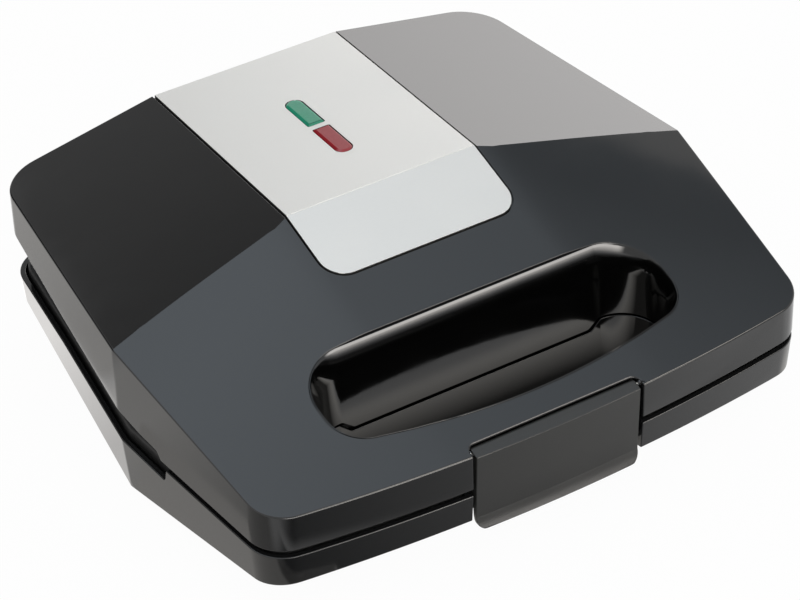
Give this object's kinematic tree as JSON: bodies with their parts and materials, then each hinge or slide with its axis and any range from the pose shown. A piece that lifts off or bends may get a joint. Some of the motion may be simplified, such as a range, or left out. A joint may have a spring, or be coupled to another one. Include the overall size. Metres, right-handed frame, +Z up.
{
  "type": "multi snack maker",
  "caption": "Countertop sandwich and snack cooker: a hinged faceted lid over a matching base, finger slot, front latch, two heated non-stick plates.",
  "frame": {"origin": "on the surface that it stands on, under the middle of the object", "axes": "+Z up, +Y towards the lid hinge at the rear, +X to the right seen from the front"},
  "size_m": [0.264, 0.239, 0.0895],
  "materials": {
    "gloss_shell": "high gloss dark graphite",
    "trim_silver": "satin silver",
    "green_lens": "clear tinted",
    "red_lens": "clear tinted",
    "well_black": "high gloss black",
    "satin_black": "satin",
    "heat_black": "matt, heat resistant",
    "non_stick": "dark non-stick coating on cast aluminium",
    "element_sheath": "heat-tinted sheath",
    "steel": "plain",
    "ceramic": "unglazed, cream",
    "lamp_glass": "clear",
    "pad_rubber": "matt grey"
  },
  "bodies": {
    "base": {"base_shell": "gloss_shell", "lower_handle_well": "well_black", "lower_frame": "heat_black", "lower_plate": "non_stick", "lower_element": "element_sheath", "lower_reflector": "steel", "lower_plate_screw_left": "steel", "lower_plate_screw_right": "steel", "lower_plate_screw_front": "steel", "terminal_block": "ceramic", "cord_inlet": "satin_black", "hinge_pin_left": "steel", "hinge_pin_right": "steel", "foot_front_left": "satin_black", "foot_front_right": "satin_black", "foot_rear_left": "satin_black", "foot_rear_right": "satin_black", "foot_pad_front_left": "pad_rubber", "foot_pad_front_right": "pad_rubber", "foot_pad_rear_left": "pad_rubber", "foot_pad_rear_right": "pad_rubber", "base_screw_front_left": "steel", "base_screw_front_right": "steel", "base_screw_rear_left": "steel", "base_screw_rear_right": "steel"},
    "lid": {"lid_shell": "gloss_shell", "trim_panel": "trim_silver", "green_lens": "green_lens", "red_lens": "red_lens", "lamp_holder": "heat_black", "green_lamp": "lamp_glass", "red_lamp": "lamp_glass", "upper_handle_well": "well_black", "upper_frame": "heat_black", "upper_plate": "non_stick", "upper_element": "element_sheath", "upper_reflector": "steel", "thermostat": "steel", "thermal_fuse": "ceramic", "upper_plate_screw_left": "steel", "upper_plate_screw_right": "steel", "upper_plate_screw_front": "steel", "lid_screw_front_left": "steel", "lid_screw_front_right": "steel", "lid_screw_rear_left": "steel", "lid_screw_rear_right": "steel", "latch_pin": "steel"},
    "latch": {"latch": "satin_black"}
  },
  "joints": [
    {"name": "lid_hinge", "type": "hinge", "parent": "base", "child": "lid", "pos_m": [0, 0.111, 0.042], "axis": [-1, 0, 0], "range_deg": [0, 100]},
    {"name": "latch_hinge", "type": "hinge", "parent": "lid", "child": "latch", "pos_m": [0, -0.1135, 0.051], "axis": [-1, 0, 0], "range_deg": [0, 30]}
  ]
}
